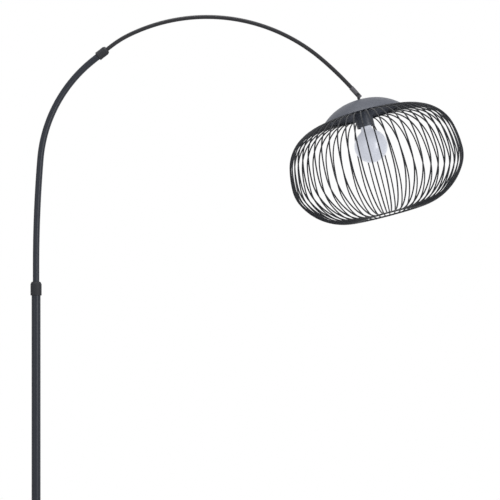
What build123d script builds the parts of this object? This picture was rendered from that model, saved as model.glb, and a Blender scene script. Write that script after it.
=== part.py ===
from build123d import *
import os
from math import acos, atan2, cos, degrees, radians, sin

# Arc floor lamp with a wire cage shade. Millimetres, +Z up, origin on the floor under the pole.
# The arch rises along the pole, bends over towards +X and carries the shade at its end.

# ---- Driving dimensions ------------------------------------------------------------------

# Fits
running_gap = 0.05  # radial play of a round fit that turns, slides or is pushed in
face_gap = 0.3  # play between facing sides of pieces that move against each other
through_cut = 24.0  # length of a cut that goes right through a small piece

# Base
base_radius = 160.0
base_shift = 60.0  # the base's centre stands this far from the pole, under the shade's side
pad_thickness = 2.0
pad_inset = 9.0
weight_thickness = 20.0
weight_inset = 3.8  # gap between the weight's rim and the cover's skirt
weight_edge = 7.0
cover_wall = 1.2
cover_edge = 9.0
cover_lift = 1.0  # floor to the lower edge of the cover's skirt
pocket_radius = 17.0  # pocket under the weight, round the nut
pocket_depth = 13.0
groove_width = 10.0  # groove for the flex, from the pocket to the back of the weight
groove_depth = 9.0

# Hollow threaded tube, nut and washer that bolt the pole to the base
nipple_radius = 7.0
nipple_bore = 4.8
nipple_reach = 20.0  # length above the cover
base_nut_width = 22.0
base_nut_thickness = 4.5
base_washer_radius = 14.5
base_washer_thickness = 1.5
thread_end = 0.5  # thread that stands past a nut

# Gland in the back of the cover, where the mains flex goes in
gland_bore = 3.1
gland_neck = 4.0
gland_lip = 5.0
gland_lip_thickness = 1.5
gland_height = 6.5
gland_play = 0.2  # between the cover's wall and the gland's inner lip

# Pole
pole_radius = 11.0
pole_wall = 1.2
pole_section = 521.0
foot_flange_radius = 16.0
foot_flange_thickness = 4.0
foot_plug_length = 30.0
foot_collar_radius = 24.0
foot_collar_height = 14.0
foot_collar_rim = 3.0  # height of its upright rim
foot_collar_lip = 4.0  # width of its flat top
foot_collar_seat = 6.0  # length that touches the pole
foot_collar_round = 2.0
foot_collar_brim = 1.0  # gap round the foot's flange, inside the collar
joiner_length = 70.0
joiner_bore = 6.0

# Arch tube: a straight foot, two bends and a straight end
tube_radius = 8.0
tube_wall = 1.0
tube_insertion = 150.0  # length of the tube inside the pole, as set in the picture
straight_rise = 60.0  # straight tube above the pole's top
rise_bend_radius = 3270.0
rise_bend_turn = 4.64  # degrees
crest_bend_radius = 347.4
crest_bend_turn = 47.14
collar_run = 54.0  # straight length on which the arm's collar sits
tube_end_run = 31.0  # part of that length which is still tube

# Arm rod: a straight end, three bends and a straight end in the fork
rod_radius = 5.0
rod_wall = 1.0
rod_insertion = 30.0
first_bend_radius = 252.0
first_bend_turn = 12.22  # degrees
crook_bend_radius = 437.92
crook_bend_turn = 66.416
last_bend_radius = 812.0
last_bend_turn = 7.12
rod_seat = 12.0

# Guide bush at the foot of the arch tube
bush_length = 30.0
bush_spigot = 18.0
bush_bore = 4.5

# Collet and screw collar at the top of the pole
lower_plug = 20.0
lower_flange = 2.0
lower_finger = 15.0
lower_finger_root = 10.0
lower_finger_tip = 9.2
lower_collar_radius = 13.65
lower_collar_top_radius = 10.6
lower_collar_skirt = 12.2  # reach below the pole's top
lower_collar_taper = 6.0
lower_collar_roof = 4.5
lower_slit_root = 4.0
slit_width = 1.4
slit_count = 4

# Collet and screw collar at the end of the arch tube
upper_plug = 18.0
upper_flange = 1.5
upper_finger = 7.0
upper_finger_root = 7.5
upper_finger_tip = 6.8
upper_collar_radius = 11.0
upper_collar_top_radius = 8.2
upper_collar_skirt = 17.5
upper_collar_taper = 5.0
upper_collar_roof = 2.7
upper_slit_root = 3.0

# Fork at the end of the arm, pivot screw and nut
fork_radius = 6.0
fork_length = 33.3
fork_slot_depth = 14.5
fork_flat = 5.0  # distance of the screw's seats from the middle of the fork
pivot_height = 9.3  # fork's mouth to the pivot
pivot_radius = 2.0
pivot_head_radius = 3.3
pivot_head_height = 1.8
pivot_socket_width = 2.5
pivot_socket_depth = 1.1
pivot_nut_width = 6.5
pivot_nut_thickness = 2.0
pivot_seat_radius = 4.4

# Shade: lengths along its own axis, measured up from the plane of the cage's top ring
shade_lean = 14.47  # degrees from vertical, its top towards the pole
tongue_thickness = 5.0
tongue_head = 4.3
tongue_width = 6.5
tongue_rise = 14.2  # dome's top to the pivot
stem_radius = 5.0
stem_bore = 3.3
stem_wall_end = 1.0  # metal left above the bore
canopy_washer_radius = 7.4
canopy_washer_thickness = 1.5
dome_top = 39.5
dome_overhang = 7.7  # reach of its rim past the cage's top ring
dome_wall = 1.0
dome_flat = 9.0
canopy_nut_width = 14.0
canopy_nut_thickness = 4.5
strap_length = 66.0
strap_width = 14.0
strap_thickness = 1.5
strap_corner = 3.5
strap_screw_offset = 29.0
strap_screw_radius = 2.0
strap_screw_reach = 2.2  # above the strap
strap_head_radius = 3.6
strap_head_height = 2.1

# Lampholder
holder_radius = 22.0
holder_wall = 2.2
holder_bottom = -28.5
holder_split = 8.0
holder_shoulder = 8.0
holder_nut_thickness = 3.0
spigot_height = 6.0
spigot_wall = 2.0
ledge_height = 2.0
ledge_thickness = 2.0
ledge_radius = 15.5
block_thickness = 8.0
terminal_offset = 9.0
terminal_radius = 2.0
terminal_height = 2.5
shell_bore = 13.6
shell_wall = 0.5
shell_length = 24.0
contact_length = 12.0
contact_width = 4.0
contact_thickness = 0.5
contact_button = 1.5

# Bulb
cap_radius = 13.2
cap_length = 26.0
cap_wall = 0.6
cap_shoulder = 2.5
cap_tip_radius = 4.5
cap_tip_depth = 2.0  # the lampholder's ledge to the cap's tip
cap_disc_radius = 9.0
cap_disc = 5.0  # depth of the insulating disc inside the cap
globe_radius = 41.0
globe_centre = -77.0
globe_neck = 13.0
globe_fillet = 14.0
globe_wall = 1.0
globe_root = 8.0  # length of glass held inside the cap

# Wire cage
wire_count = 56
wire_radius = 1.6
wires_in_set = 7  # wires that share one piece's file
wire_phase = 4.3  # degrees
cage_top_radius = 92.3
cage_middle_radius = 213.6
cage_bottom_radius = 79.7
cage_upper_drop = 136.7
cage_lower_drop = 113.8
shoulder_start = 30.8  # degrees turned before the cage's shoulder
shoulder_turn = 45.5
shoulder_radius = 98.1
belly_turn = 62.4  # degrees turned between the bottom ring and the belly
top_ring_wire = 1.6
bottom_ring_wire = 2.0
weld_gap = 0.2

# Flex
flex_radius = 2.6
flex_bottom = 12.0
flex_top = 780.0


# ---- Places worked out from the dimensions -----------------------------------------------

weight_top = pad_thickness + weight_thickness
cover_top = weight_top + cover_wall
pole_foot_top = cover_top + foot_flange_thickness
pole_joint = pole_foot_top + pole_section
pole_top = pole_joint + pole_section
pole_bore = pole_radius - pole_wall
plug_radius = pole_bore - running_gap
tube_bore = tube_radius - tube_wall
rod_bore = rod_radius - rod_wall
tube_foot = pole_top - tube_insertion
flex_offset = rod_bore - flex_radius - face_gap
nipple_clear = nipple_radius + running_gap


def axial_plane(frame):
    """Plane through a frame's axis: its x is the frame's x, and its y runs along the axis."""
    return Plane(frame.origin, x_dir=frame.x_dir, z_dir=frame.x_dir.cross(frame.z_dir))


def frame_axis(frame):
    """Axis of a frame, along its z."""
    return Axis(frame.origin, frame.z_dir)


def turn(frame, *points):
    """Turn the closed outline of (radius, height) points about the frame's axis."""
    with BuildSketch(axial_plane(frame), mode=Mode.PRIVATE) as outline:
        with BuildLine():
            Polyline(*points, close=True)
        make_face()
    revolve(outline.sketch, axis=frame_axis(frame))


def hexagon(frame, width, low, high, bore):
    """Hexagonal nut with the given width across its flats, between two heights."""
    with BuildSketch(frame.offset(low), mode=Mode.PRIVATE) as outline:
        RegularPolygon(width / 2, 6, major_radius=False)
        Circle(bore, mode=Mode.SUBTRACT)
    extrude(outline.sketch, amount=high - low)


def slits(frame, radius, width, low, high, count):
    """Radial cuts through the fingers of a collet, between two heights."""
    with BuildSketch(frame.offset(low), mode=Mode.PRIVATE) as cuts:
        with PolarLocations(radius, count):
            Rectangle(radius, width)
    extrude(cuts.sketch, amount=high - low, mode=Mode.SUBTRACT)


def bent_line(start, heading, runs):
    """Line of tangent runs in the XZ plane: a number is a straight length, and a pair is a
    radius and the degrees of a clockwise bend."""
    with BuildLine(Plane.XZ) as line:
        point, direction = Vector(*start), Vector(*heading)
        for run in runs:
            if isinstance(run, tuple):
                piece = JernArc(point, direction, run[0], -run[1])
            else:
                piece = Line(point, point + direction * run)
            point, direction = piece @ 1, piece % 1
    return line.line


def sweep_ring(path, outer, inner):
    """Carry a ring, or a disc where inner is 0, along a path."""
    with BuildSketch(Plane(path @ 0, x_dir=(0, 1, 0), z_dir=path % 0), mode=Mode.PRIVATE) as ring:
        Circle(outer)
        if inner > 0:
            Circle(inner, mode=Mode.SUBTRACT)
    sweep(ring.sketch, path=path)


up = (0, 0, 1)
foot_run = tube_insertion + straight_rise
tube_bends = ((rise_bend_radius, rise_bend_turn), (crest_bend_radius, crest_bend_turn))
tube_runs = (foot_run,) + tube_bends + (tube_end_run,)
tube_path = bent_line((0, 0, tube_foot), up, tube_runs)
tube_end = tube_path @ 1
tube_direction = tube_path % 1
rod_start = tube_end - tube_direction * rod_insertion
rod_first_run = rod_insertion + collar_run - tube_end_run
rod_bends = (
    (first_bend_radius, first_bend_turn),
    (crook_bend_radius, crook_bend_turn),
    (last_bend_radius, last_bend_turn),
)
rod_runs = (rod_first_run,) + rod_bends + (rod_seat,)
rod_path = bent_line(rod_start, tube_direction, rod_runs)
rod_end = rod_path @ 1
rod_direction = rod_path % 1

floor_frame = Plane.XY
base_frame = Plane((base_shift, 0, 0))
pole_end_frame = Plane((0, 0, pole_top))
tube_foot_frame = Plane((0, 0, tube_foot))
tube_end_frame = Plane(tube_end, x_dir=(0, 1, 0), z_dir=tube_direction)
fork_mouth = rod_end + rod_direction * (fork_length - rod_seat)
fork_frame = Plane(fork_mouth, x_dir=Vector(0, 1, 0).cross(-rod_direction), z_dir=-rod_direction)
pivot_point = fork_mouth - rod_direction * pivot_height
pivot_frame = Plane(pivot_point, x_dir=(1, 0, 0), z_dir=(0, -1, 0))

shade_up = Vector(-sin(radians(shade_lean)), 0, cos(radians(shade_lean)))
shade_side = Vector(cos(radians(shade_lean)), 0, sin(radians(shade_lean)))
pivot_level = dome_top + tongue_rise
shade_frame = Plane(pivot_point - shade_up * pivot_level, x_dir=shade_side, z_dir=shade_up)
shade_section = axial_plane(shade_frame)


# ---- Base --------------------------------------------------------------------------------

with BuildPart() as base_pad:
    with BuildSketch(base_frame):
        Circle(base_radius - pad_inset)
    extrude(amount=pad_thickness)

weight_radius = base_radius - cover_wall - weight_inset
pocket_roof = pad_thickness + pocket_depth
with BuildPart() as base_weight:
    with BuildSketch(base_frame.offset(pad_thickness)):
        Circle(weight_radius)
    extrude(amount=weight_thickness)
    fillet(base_weight.edges().group_by(Axis.Z)[-1], radius=weight_edge)
    with BuildSketch(Plane.XY.offset(pad_thickness)):
        Circle(pocket_radius)
    extrude(amount=pocket_depth, mode=Mode.SUBTRACT)
    with BuildSketch(Plane.XY.offset(pad_thickness)):
        Rectangle(base_radius, groove_width, align=(Align.MAX, Align.CENTER))
    extrude(amount=groove_depth, mode=Mode.SUBTRACT)
    with BuildSketch(Plane.XY.offset(pocket_roof)):
        Circle(nipple_clear)
    extrude(amount=weight_thickness, mode=Mode.SUBTRACT)

gland_frame = Plane((base_shift - base_radius, 0, gland_height), x_dir=(0, 1, 0), z_dir=(-1, 0, 0))
gland_inside = cover_wall + gland_play
with BuildPart() as base_cover:
    with BuildSketch(base_frame.offset(cover_lift)):
        Circle(base_radius)
    extrude(amount=cover_top - cover_lift)
    fillet(base_cover.edges().group_by(Axis.Z)[-1], radius=cover_edge)
    offset(amount=-cover_wall, openings=base_cover.faces().sort_by(Axis.Z)[0])
    with BuildSketch(Plane.XY.offset(weight_top)):
        Circle(nipple_clear)
    extrude(amount=cover_wall, mode=Mode.SUBTRACT)
    with BuildSketch(gland_frame):
        Circle(gland_neck + running_gap)
    extrude(amount=-gland_inside, mode=Mode.SUBTRACT)

with BuildPart() as base_washer:
    with BuildSketch(Plane.XY.offset(pocket_roof - base_washer_thickness)):
        Circle(base_washer_radius)
        Circle(nipple_clear, mode=Mode.SUBTRACT)
    extrude(amount=base_washer_thickness)

nut_top = pocket_roof - base_washer_thickness
nut_bottom = nut_top - base_nut_thickness
with BuildPart() as base_nut:
    hexagon(floor_frame, base_nut_width, nut_bottom, nut_top, nipple_clear)

nipple_bottom = nut_bottom - thread_end
nipple_top = cover_top + nipple_reach
with BuildPart() as base_nipple:
    with BuildSketch(Plane.XY.offset(nipple_bottom)):
        Circle(nipple_radius)
        Circle(nipple_bore, mode=Mode.SUBTRACT)
    extrude(amount=nipple_top - nipple_bottom)

with BuildPart() as cord_gland:
    turn(
        gland_frame,
        (gland_bore, -gland_inside - gland_lip_thickness),
        (gland_lip, -gland_inside - gland_lip_thickness),
        (gland_lip, -gland_inside),
        (gland_neck, -gland_inside),
        (gland_neck, running_gap),
        (gland_lip, running_gap),
        (gland_lip, running_gap + gland_lip_thickness),
        (gland_bore, running_gap + gland_lip_thickness),
    )


# ---- Pole --------------------------------------------------------------------------------

with BuildPart() as pole_foot:
    turn(
        floor_frame,
        (nipple_clear, cover_top),
        (foot_flange_radius, cover_top),
        (foot_flange_radius, pole_foot_top),
        (plug_radius, pole_foot_top),
        (plug_radius, pole_foot_top + foot_plug_length),
        (nipple_bore, pole_foot_top + foot_plug_length),
        (nipple_bore, nipple_top + running_gap),
        (nipple_clear, nipple_top + running_gap),
    )

collar_bore = pole_radius + running_gap
collar_cavity = foot_flange_radius + foot_collar_brim
with BuildPart() as foot_collar:
    turn(
        floor_frame.offset(cover_top),
        (collar_bore, foot_collar_height),
        (collar_bore, foot_collar_height - foot_collar_seat),
        (collar_cavity, foot_flange_thickness + foot_collar_brim),
        (collar_cavity, 0),
        (foot_collar_radius, 0),
        (foot_collar_radius, foot_collar_rim),
        (collar_bore + foot_collar_lip, foot_collar_height),
    )
    circles = foot_collar.edges().filter_by(GeomType.CIRCLE)
    fillet(circles.group_by(Axis.Z)[1], radius=foot_collar_round)
    fillet(foot_collar.edges().group_by(Axis.Z)[-1].sort_by(SortBy.RADIUS)[-1], radius=foot_collar_round)

with BuildPart() as lower_pole:
    with BuildSketch(Plane.XY.offset(pole_foot_top)):
        Circle(pole_radius)
        Circle(pole_bore, mode=Mode.SUBTRACT)
    extrude(amount=pole_section)

with BuildPart() as upper_pole:
    with BuildSketch(Plane.XY.offset(pole_joint)):
        Circle(pole_radius)
        Circle(pole_bore, mode=Mode.SUBTRACT)
    extrude(amount=pole_section)

with BuildPart() as pole_joiner:
    with BuildSketch(Plane.XY.offset(pole_joint - joiner_length / 2)):
        Circle(plug_radius)
        Circle(joiner_bore, mode=Mode.SUBTRACT)
    extrude(amount=joiner_length)

pole_flex_offset = nipple_bore - flex_radius - face_gap
with BuildPart() as pole_flex:
    with BuildSketch(Plane.XY.offset(flex_bottom)):
        with Locations((pole_flex_offset, 0)):
            Circle(flex_radius)
    extrude(amount=flex_top - flex_bottom)

tube_clear = tube_radius + running_gap
lower_finger_top = lower_flange + lower_finger
with BuildPart() as lower_collet:
    turn(
        pole_end_frame,
        (tube_clear, -lower_plug),
        (plug_radius, -lower_plug),
        (plug_radius, 0),
        (pole_radius, 0),
        (pole_radius, lower_flange),
        (lower_finger_root, lower_flange),
        (lower_finger_tip, lower_finger_top),
        (tube_clear, lower_finger_top),
    )
    slits(pole_end_frame, lower_finger_root, slit_width, lower_slit_root, lower_finger_top, slit_count)

lower_collar_top = lower_finger_top + face_gap + lower_collar_roof
with BuildPart() as lower_collar:
    turn(
        pole_end_frame,
        (pole_radius + running_gap, -lower_collar_skirt),
        (pole_radius + running_gap, lower_flange + face_gap),
        (lower_finger_root + face_gap, lower_flange + face_gap),
        (lower_finger_tip + face_gap, lower_finger_top + face_gap),
        (tube_radius + face_gap, lower_finger_top + face_gap),
        (tube_radius + face_gap, lower_collar_top),
        (lower_collar_top_radius, lower_collar_top),
        (lower_collar_radius, lower_collar_top - lower_collar_taper),
        (lower_collar_radius, -lower_collar_skirt),
    )


# ---- Arch and arm ------------------------------------------------------------------------

with BuildPart() as guide_bush:
    turn(
        tube_foot_frame,
        (bush_bore, -face_gap - bush_length),
        (plug_radius, -face_gap - bush_length),
        (plug_radius, -face_gap),
        (tube_bore - running_gap, -face_gap),
        (tube_bore - running_gap, bush_spigot),
        (bush_bore, bush_spigot),
    )

with BuildPart() as arch_tube:
    sweep_ring(tube_path, tube_radius, tube_bore)

rod_clear = rod_radius + running_gap
upper_finger_top = upper_flange + upper_finger
with BuildPart() as upper_collet:
    turn(
        tube_end_frame,
        (rod_clear, -upper_plug),
        (tube_bore - running_gap, -upper_plug),
        (tube_bore - running_gap, 0),
        (tube_radius, 0),
        (tube_radius, upper_flange),
        (upper_finger_root, upper_flange),
        (upper_finger_tip, upper_finger_top),
        (rod_clear, upper_finger_top),
    )
    slits(tube_end_frame, upper_finger_root, slit_width, upper_slit_root, upper_finger_top, slit_count)

upper_collar_top = upper_finger_top + face_gap + upper_collar_roof
with BuildPart() as upper_collar:
    turn(
        tube_end_frame,
        (tube_clear, -upper_collar_skirt),
        (tube_clear, upper_flange + face_gap),
        (upper_finger_root + face_gap, upper_flange + face_gap),
        (upper_finger_tip + face_gap, upper_finger_top + face_gap),
        (rod_radius + face_gap, upper_finger_top + face_gap),
        (rod_radius + face_gap, upper_collar_top),
        (upper_collar_top_radius, upper_collar_top),
        (upper_collar_radius, upper_collar_top - upper_collar_taper),
        (upper_collar_radius, -upper_collar_skirt),
    )

with BuildPart() as arm_rod:
    sweep_ring(rod_path, rod_radius, rod_bore)

# The flex lies on the inside of every bend, so its bends are tighter by its offset. It ends
# halfway through the fork's web, between the rod's end and the slot.
fork_web = fork_length - rod_seat - fork_slot_depth
flex_tube_bends = [(radius - flex_offset, turned) for radius, turned in tube_bends]
flex_rod_bends = [(radius - flex_offset, turned) for radius, turned in rod_bends]
flex_runs = [foot_run] + flex_tube_bends + [collar_run] + flex_rod_bends + [rod_seat + fork_web / 2]
flex_path = bent_line((flex_offset, 0, tube_foot), up, flex_runs)
with BuildPart() as arm_flex:
    sweep_ring(flex_path, flex_radius, 0)


# ---- Fork and pivot ----------------------------------------------------------------------

fork_slot = tongue_thickness + 2 * face_gap
with BuildPart() as arm_fork:
    with BuildSketch(fork_frame):
        Circle(fork_radius)
        Circle(rod_bore, mode=Mode.SUBTRACT)
    extrude(amount=fork_length)
    with BuildSketch(fork_frame.offset(fork_length)):
        Circle(rod_clear)
    extrude(amount=-rod_seat - face_gap, mode=Mode.SUBTRACT)
    with BuildSketch(fork_frame):
        Rectangle(through_cut, fork_slot)
    extrude(amount=fork_slot_depth, mode=Mode.SUBTRACT)
    with BuildSketch(pivot_frame):
        Circle(pivot_radius + running_gap)
    extrude(amount=through_cut, both=True, mode=Mode.SUBTRACT)
    for side in (fork_flat, -fork_flat):
        with BuildSketch(pivot_frame.offset(side)):
            Circle(pivot_seat_radius)
        extrude(amount=side, mode=Mode.SUBTRACT)

with BuildPart() as pivot_screw:
    with BuildSketch(pivot_frame.offset(fork_flat)):
        Circle(pivot_head_radius)
    extrude(amount=pivot_head_height)
    with BuildSketch(pivot_frame.offset(fork_flat + pivot_head_height)):
        RegularPolygon(pivot_socket_width / 2, 6, major_radius=False)
    extrude(amount=-pivot_socket_depth, mode=Mode.SUBTRACT)
    with BuildSketch(pivot_frame.offset(fork_flat)):
        Circle(pivot_radius)
    extrude(amount=-2 * fork_flat - pivot_nut_thickness - thread_end)

with BuildPart() as pivot_nut:
    nut_face = -fork_flat - pivot_nut_thickness
    hexagon(pivot_frame, pivot_nut_width, nut_face, -fork_flat, pivot_radius + running_gap)


# ---- Shade mount and dome ----------------------------------------------------------------

washer_top = dome_top + canopy_washer_thickness
dome_inside = dome_top - dome_wall
strap_top = dome_inside - canopy_nut_thickness
holder_top = strap_top - strap_thickness
holder_roof = holder_top - holder_wall
stem_bottom = holder_roof - holder_nut_thickness - thread_end
stem_clear = stem_radius + running_gap

with BuildPart() as shade_stem:
    with BuildSketch(shade_section):
        with Locations((0, pivot_level)):
            Circle(tongue_head)
            Rectangle(tongue_width, pivot_level - washer_top, align=(Align.CENTER, Align.MAX))
    extrude(amount=tongue_thickness / 2, both=True)
    with BuildSketch(shade_frame.offset(washer_top)):
        Circle(stem_radius)
    extrude(amount=stem_bottom - washer_top)
    with BuildSketch(shade_frame.offset(stem_bottom)):
        Circle(stem_bore)
    extrude(amount=washer_top - stem_wall_end - stem_bottom, mode=Mode.SUBTRACT)
    with BuildSketch(pivot_frame):
        Circle(pivot_radius + running_gap)
    extrude(amount=through_cut, both=True, mode=Mode.SUBTRACT)

with BuildPart() as canopy_washer:
    with BuildSketch(shade_frame.offset(dome_top)):
        Circle(canopy_washer_radius)
        Circle(stem_clear, mode=Mode.SUBTRACT)
    extrude(amount=canopy_washer_thickness)

# The dome is a shallow cap: a flat top, then one arc that starts level and ends at the rim.
dome_bottom = wire_radius + weld_gap + dome_wall
dome_rim = cage_top_radius + dome_overhang
dome_reach = dome_rim - dome_flat
dome_drop = dome_top - dome_bottom
dome_arc = (dome_reach**2 + dome_drop**2) / (2 * dome_drop)
dome_turn = degrees(2 * atan2(dome_drop, dome_reach))
with BuildPart() as canopy_dome:
    with BuildSketch(shade_section):
        with BuildLine():
            top = Line((stem_clear, dome_top), (dome_flat, dome_top))
            outside = JernArc(top @ 1, top % 1, dome_arc, -dome_turn)
            under = Line((stem_clear, dome_inside), (dome_flat, dome_inside))
            inside = JernArc(under @ 1, under % 1, dome_arc - dome_wall, -dome_turn)
            Line(outside @ 1, inside @ 1)
            Line(top @ 0, under @ 0)
        make_face()
    revolve(axis=frame_axis(shade_frame))

with BuildPart() as canopy_nut:
    hexagon(shade_frame, canopy_nut_width, strap_top, dome_inside, stem_clear)

with BuildPart() as mounting_strap:
    with BuildSketch(shade_frame.offset(holder_top)):
        RectangleRounded(strap_length, strap_width, strap_corner)
        Circle(stem_clear, mode=Mode.SUBTRACT)
        with Locations((strap_screw_offset, 0), (-strap_screw_offset, 0)):
            Circle(strap_screw_radius + running_gap, mode=Mode.SUBTRACT)
    extrude(amount=strap_thickness)

with BuildPart() as strap_screws:
    with BuildSketch(shade_frame.offset(holder_top)):
        with Locations((strap_screw_offset, 0), (-strap_screw_offset, 0)):
            Circle(strap_head_radius)
    extrude(amount=-strap_head_height)
    with BuildSketch(shade_frame.offset(holder_top)):
        with Locations((strap_screw_offset, 0), (-strap_screw_offset, 0)):
            Circle(strap_screw_radius)
    extrude(amount=strap_thickness + strap_screw_reach)


# ---- Lampholder --------------------------------------------------------------------------

holder_bore = holder_radius - holder_wall
with BuildPart() as holder_cap:
    with BuildSketch(shade_frame.offset(holder_split)):
        Circle(holder_radius)
    extrude(amount=holder_top - holder_split)
    fillet(holder_cap.edges().sort_by(frame_axis(shade_frame))[-1], radius=holder_shoulder)
    offset(amount=-holder_wall, openings=holder_cap.faces().sort_by(frame_axis(shade_frame))[0])
    with BuildSketch(shade_frame.offset(holder_roof)):
        Circle(stem_clear)
    extrude(amount=holder_wall, mode=Mode.SUBTRACT)

with BuildPart() as holder_nut:
    hexagon(shade_frame, canopy_nut_width, holder_roof - holder_nut_thickness, holder_roof, stem_clear)

spigot_radius = holder_bore - running_gap
spigot_bore = spigot_radius - spigot_wall
spigot_top = holder_split + spigot_height
ledge_top = ledge_height + ledge_thickness
with BuildPart() as holder_body:
    turn(
        shade_frame,
        (holder_radius, holder_bottom),
        (holder_radius, holder_split),
        (spigot_radius, holder_split),
        (spigot_radius, spigot_top),
        (spigot_bore, spigot_top),
        (spigot_bore, ledge_top),
        (ledge_radius, ledge_top),
        (ledge_radius, ledge_height),
        (holder_bore, ledge_height),
        (holder_bore, holder_bottom),
    )

with BuildPart() as contact_block:
    with BuildSketch(shade_frame.offset(ledge_top)):
        Circle(spigot_bore - running_gap)
    extrude(amount=block_thickness)

with BuildPart() as terminal_screws:
    with BuildSketch(shade_frame.offset(ledge_top + block_thickness)):
        with Locations((terminal_offset, 0), (-terminal_offset, 0)):
            Circle(terminal_radius)
    extrude(amount=terminal_height)

with BuildPart() as screw_shell:
    with BuildSketch(shade_frame.offset(ledge_top)):
        Circle(shell_bore + shell_wall)
        Circle(shell_bore, mode=Mode.SUBTRACT)
    extrude(amount=-shell_length)

tip_level = ledge_top - cap_tip_depth
with BuildPart() as centre_contact:
    with BuildSketch(shade_frame.offset(ledge_top)):
        Rectangle(contact_length, contact_width)
    extrude(amount=-contact_thickness)
    with BuildSketch(shade_frame.offset(ledge_top - contact_thickness)):
        Circle(contact_button)
    extrude(amount=-(cap_tip_depth - contact_thickness - face_gap))


# ---- Bulb --------------------------------------------------------------------------------

cap_bottom = tip_level - cap_length
cap_level = tip_level - cap_shoulder
cap_bore = cap_radius - cap_wall
with BuildPart() as bulb_cap:
    turn(
        shade_frame,
        (0, tip_level),
        (cap_tip_radius, tip_level),
        (cap_disc_radius, cap_level),
        (cap_radius, cap_level - cap_shoulder),
        (cap_radius, cap_bottom),
        (cap_bore, cap_bottom),
        (cap_bore, cap_level - cap_disc),
        (0, cap_level - cap_disc),
    )

# The neck runs straight down, turns outwards on a fillet and rolls over into the globe.
neck_turn = degrees(acos((globe_neck + globe_fillet) / (globe_radius + globe_fillet)))
fillet_level = globe_centre + (globe_radius + globe_fillet) * sin(radians(neck_turn))
root_radius = cap_bore - running_gap
glass_top = cap_bottom + globe_root
neck_top = cap_bottom - running_gap
with BuildPart() as bulb_globe:
    with BuildSketch(shade_section):
        with BuildLine():
            Polyline(
                (root_radius - globe_wall, glass_top),
                (root_radius, glass_top),
                (root_radius, neck_top),
                (globe_neck, neck_top),
            )
            neck = Line((globe_neck, neck_top), (globe_neck, fillet_level))
            flare = JernArc(neck @ 1, neck % 1, globe_fillet, neck_turn)
            ball = JernArc(flare @ 1, flare % 1, globe_radius, -90 - neck_turn)
            throat = globe_neck - globe_wall
            lining = Line((throat, neck_top - globe_wall), (throat, fillet_level))
            flare_in = JernArc(lining @ 1, lining % 1, globe_fillet + globe_wall, neck_turn)
            ball_in = JernArc(flare_in @ 1, flare_in % 1, globe_radius - globe_wall, -90 - neck_turn)
            Line(ball @ 1, ball_in @ 1)
            Polyline(
                (throat, neck_top - globe_wall),
                (root_radius - globe_wall, neck_top - globe_wall),
                (root_radius - globe_wall, glass_top),
            )
        make_face()
    revolve(axis=frame_axis(shade_frame))


# ---- Wire cage ---------------------------------------------------------------------------


def two_bends(reach, drop, first):
    """Radii of two tangent arcs that turn through a right angle over a reach and a drop."""
    a, b = sin(radians(first)), cos(radians(first))
    scale = a + b - 1
    return (reach * b - drop * (1 - a)) / scale, (drop * a - reach * (1 - b)) / scale


def three_bends(reach, drop, first, middle, middle_radius):
    """Radii of the first and last of three tangent arcs that turn through a right angle."""
    a, b = sin(radians(first)), cos(radians(first))
    c, d = sin(radians(first + middle)), cos(radians(first + middle))
    reach_left = reach - middle_radius * (c - a)
    drop_left = drop - middle_radius * (b - d)
    scale = a * d - (1 - c) * (1 - b)
    return (reach_left * d - drop_left * (1 - c)) / scale, (drop_left * a - reach_left * (1 - b)) / scale


brow_radius, flank_radius = three_bends(
    cage_middle_radius - cage_top_radius, cage_upper_drop, shoulder_start, shoulder_turn, shoulder_radius
)
sole_radius, belly_radius = two_bends(
    cage_middle_radius - cage_bottom_radius, cage_lower_drop, belly_turn
)
wire_runs = (
    (brow_radius, shoulder_start),
    (shoulder_radius, shoulder_turn),
    (flank_radius, 90 - shoulder_start - shoulder_turn),
    (belly_radius, 90 - belly_turn),
    (sole_radius, belly_turn),
)
wire_path = bent_line((cage_top_radius, 0, 0), (1, 0, 0), wire_runs)
with BuildPart() as single_wire:
    sweep_ring(wire_path, wire_radius, 0)

# The wires stand evenly round the shade's axis, and each set of neighbours is one piece.
set_sweep = 360 * wires_in_set / wire_count
wire_sets = []
for set_number in range(wire_count // wires_in_set):
    set_start = wire_phase + set_number * set_sweep
    with BuildPart() as wire_set:
        with Locations(shade_frame):
            with PolarLocations(0, wires_in_set, start_angle=set_start, angular_range=set_sweep):
                add(single_wire.part)
    wire_sets.append(wire_set)

with BuildPart() as cage_top_ring:
    with BuildSketch(shade_section):
        with Locations((cage_top_radius, 0)):
            Circle(top_ring_wire)
    revolve(axis=frame_axis(shade_frame))

with BuildPart() as cage_bottom_ring:
    with BuildSketch(shade_section):
        with Locations((cage_bottom_radius, -cage_upper_drop - cage_lower_drop)):
            Circle(bottom_ring_wire)
    revolve(axis=frame_axis(shade_frame))


# ---- Files -------------------------------------------------------------------------------

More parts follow.
